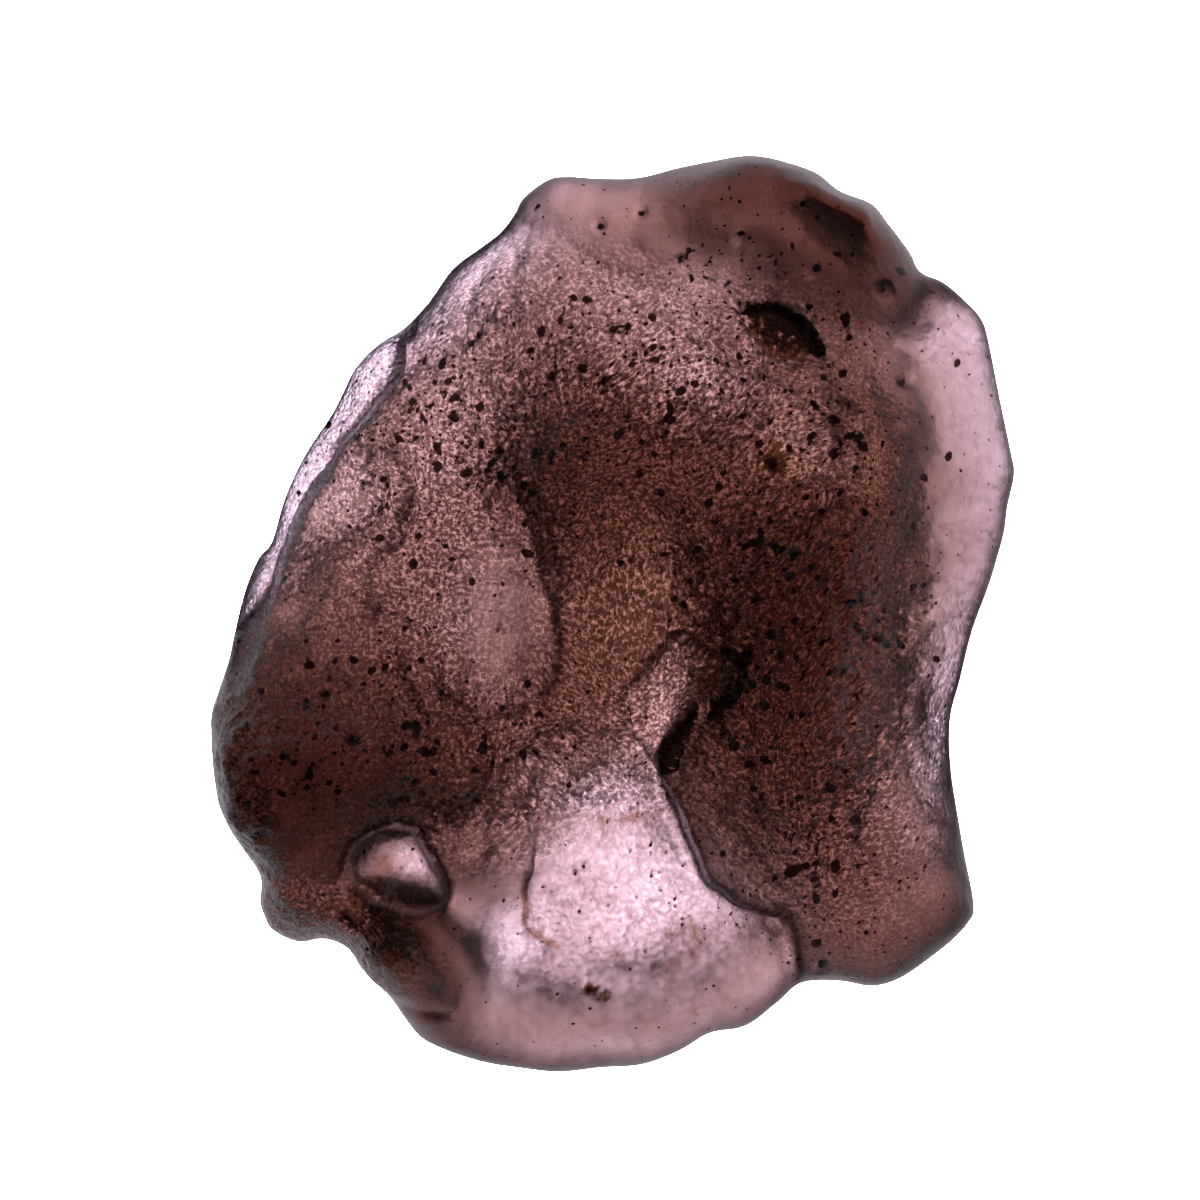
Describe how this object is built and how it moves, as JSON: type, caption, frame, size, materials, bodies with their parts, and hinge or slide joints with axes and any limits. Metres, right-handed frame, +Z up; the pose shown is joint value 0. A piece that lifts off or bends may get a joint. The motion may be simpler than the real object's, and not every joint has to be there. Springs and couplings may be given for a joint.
{
  "type": "tektite",
  "caption": "Flattened, lumpy pebble of smoky translucent natural glass, with an etched and pitted skin, ledges and hollows, thin enough in places for light to come through.",
  "frame": {"origin": "on the surface that the pebble rests on, under the middle of its outline", "axes": "+Y along the pebble's length, the picture's top; +X to the picture's right; +Z up, towards the camera, through the pebble's thickness"},
  "size_m": [0.028, 0.032, 0.0091],
  "materials": {
    "smoky_glass": "etched, satin, finely pitted"
  },
  "bodies": {
    "root": {"tektite": "smoky_glass"}
  },
  "joints": []
}
